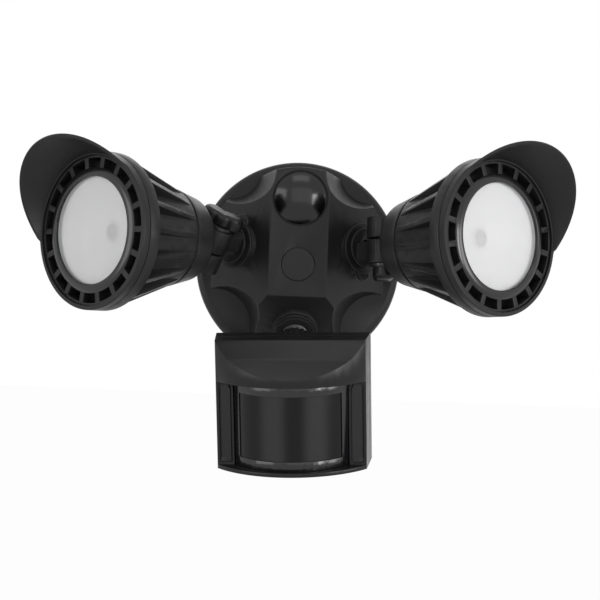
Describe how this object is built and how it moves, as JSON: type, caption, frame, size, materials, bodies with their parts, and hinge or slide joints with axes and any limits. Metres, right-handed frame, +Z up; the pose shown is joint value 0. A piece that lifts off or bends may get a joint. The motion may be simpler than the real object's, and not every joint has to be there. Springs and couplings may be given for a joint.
{
  "type": "motion sensor security light",
  "caption": "Wall-mounted security light: round canopy, two finned lamp heads with visors on toothed swivel knuckles, and a motion sensor on a clamped ball joint.",
  "frame": {"origin": "centre of the back face of the canopy's wall gasket, on the wall", "axes": "+X to the viewer's right, +Y into the wall, +Z up; the light faces -Y"},
  "size_m": [0.313, 0.1438, 0.1942],
  "materials": {
    "cast_black": "satin black powder coat on die-cast aluminium",
    "plastic_black": "fine-textured black plastic",
    "gloss_black": "polished black plastic",
    "sensor_window": "dark infrared-clear plastic",
    "lamp_lens": "frosted clear",
    "reflector_white": "white reflector",
    "board_white": "white board with light source",
    "board_green": "printed circuit board",
    "rubber_black": "soft black rubber",
    "zinc_steel": "zinc-plated",
    "dark_steel": "black-coated steel",
    "ground_green": "green"
  },
  "bodies": {
    "base": {"canopy": "cast_black", "wall_gasket": "rubber_black", "mounting_strap": "zinc_steel", "centre_screw": "zinc_steel", "centre_cap": "plastic_black", "top_port_plug": "gloss_black", "ground_screw": "ground_green", "left_port_gasket": "rubber_black", "right_port_gasket": "rubber_black", "sensor_port_gasket": "rubber_black"},
    "left_arm_body": {"left_arm": "cast_black", "left_arm_ring": "cast_black", "left_lock_nut": "zinc_steel"},
    "left_head": {"left_rear_cap": "cast_black", "left_knuckle_bolt": "dark_steel", "left_case_seal": "rubber_black", "left_case_screws": "dark_steel", "left_heat_sink": "cast_black", "left_driver": "board_green", "left_led_board": "board_white", "left_reflector": "reflector_white", "left_lens": "lamp_lens", "left_lens_bezel": "gloss_black"},
    "left_knob": {"left_knuckle_washer": "dark_steel", "left_knuckle_knob": "plastic_black"},
    "left_visor_body": {"left_visor": "cast_black"},
    "right_arm_body": {"right_arm": "cast_black", "right_arm_ring": "cast_black", "right_lock_nut": "zinc_steel"},
    "right_head": {"right_rear_cap": "cast_black", "right_knuckle_bolt": "dark_steel", "right_case_seal": "rubber_black", "right_case_screws": "dark_steel", "right_heat_sink": "cast_black", "right_driver": "board_green", "right_led_board": "board_white", "right_reflector": "reflector_white", "right_lens": "lamp_lens", "right_lens_bezel": "gloss_black"},
    "right_knob": {"right_knuckle_washer": "dark_steel", "right_knuckle_knob": "plastic_black"},
    "right_visor_body": {"right_visor": "cast_black"},
    "sensor_arm_body": {"sensor_arm": "dark_steel", "sensor_arm_ring": "cast_black", "sensor_lock_nut": "zinc_steel"},
    "sensor_liner": {"sensor_ball_liner": "rubber_black"},
    "sensor_head": {"sensor_back": "plastic_black", "sensor_front": "plastic_black", "sensor_lens_frame": "gloss_black", "sensor_lens": "sensor_window", "sensor_board": "board_green", "sensor_detector": "zinc_steel", "sensor_screws": "dark_steel"},
    "sensor_clamp": {"sensor_clamp_nut": "plastic_black"},
    "range_dial": {"sensor_range_dial": "plastic_black"},
    "time_dial": {"sensor_time_dial": "plastic_black"},
    "dusk_dial": {"sensor_dusk_dial": "plastic_black"}
  },
  "joints": [
    {"name": "left_arm_swivel", "type": "hinge", "parent": "base", "child": "left_arm_body", "pos_m": [-0.0392, -0.02912, 0.01109], "axis": [-0.6778, -0.7345, 0.0332], "range_deg": [-90, 90]},
    {"name": "left_head_tilt", "type": "hinge", "parent": "left_arm_body", "child": "left_head", "pos_m": [-0.0514, -0.04234, 0.01169], "axis": [0.3649, -0.2969, 0.8825], "range_deg": [-35, 40]},
    {"name": "left_knob_turn", "type": "hinge", "parent": "left_head", "child": "left_knob", "pos_m": [-0.04629, -0.0465, 0.02404], "axis": [0.3649, -0.2969, 0.8825], "continuous": true},
    {"name": "left_visor_turn", "type": "hinge", "parent": "left_head", "child": "left_visor_body", "pos_m": [-0.1124, -0.10845, 0.01467], "axis": [-0.6778, -0.7345, 0.0332], "continuous": true},
    {"name": "right_arm_swivel", "type": "hinge", "parent": "base", "child": "right_arm_body", "pos_m": [0.03909, -0.02921, 0.01122], "axis": [0.6381, -0.7659, 0.0785], "range_deg": [-90, 90]},
    {"name": "right_head_tilt", "type": "hinge", "parent": "right_arm_body", "child": "right_head", "pos_m": [0.05057, -0.04299, 0.01263], "axis": [-0.0234, 0.0826, 0.9963], "range_deg": [-60, 35]},
    {"name": "right_knob_turn", "type": "hinge", "parent": "right_head", "child": "right_knob", "pos_m": [0.0509, -0.04415, -0.00132], "axis": [0.0234, -0.0826, -0.9963], "continuous": true},
    {"name": "right_visor_turn", "type": "hinge", "parent": "right_head", "child": "right_visor_body", "pos_m": [0.10801, -0.11192, 0.01969], "axis": [0.6381, -0.7659, 0.0785], "continuous": true},
    {"name": "sensor_arm_swivel", "type": "hinge", "parent": "base", "child": "sensor_arm_body", "pos_m": [0, -0.03139, -0.04026], "axis": [0, -0.8192, -0.5736], "range_deg": [-60, 60]},
    {"name": "sensor_pan", "type": "hinge", "parent": "sensor_arm_body", "child": "sensor_liner", "pos_m": [0, -0.04941, -0.05288], "axis": [-0.0558, -0.139, 0.9887], "range_deg": [-15, 15]},
    {"name": "sensor_tilt", "type": "hinge", "parent": "sensor_liner", "child": "sensor_head", "pos_m": [0, -0.04941, -0.05288], "axis": [0.9952, -0.0872, 0.0439], "range_deg": [-15, 15]},
    {"name": "sensor_clamp_turn", "type": "hinge", "parent": "sensor_head", "child": "sensor_clamp", "pos_m": [0, -0.04941, -0.05288], "axis": [0.046, 0.8159, 0.5764], "continuous": true},
    {"name": "range_dial_turn", "type": "hinge", "parent": "sensor_head", "child": "range_dial", "pos_m": [-0.01234, -0.06232, -0.11769], "axis": [-0.0558, -0.139, 0.9887], "range_deg": [-135, 135]},
    {"name": "time_dial_turn", "type": "hinge", "parent": "sensor_head", "child": "time_dial", "pos_m": [0.0016, -0.06354, -0.11707], "axis": [-0.0558, -0.139, 0.9887], "range_deg": [-135, 135]},
    {"name": "dusk_dial_turn", "type": "hinge", "parent": "sensor_head", "child": "dusk_dial", "pos_m": [0.01553, -0.06476, -0.11646], "axis": [-0.0558, -0.139, 0.9887], "range_deg": [-135, 135]}
  ]
}
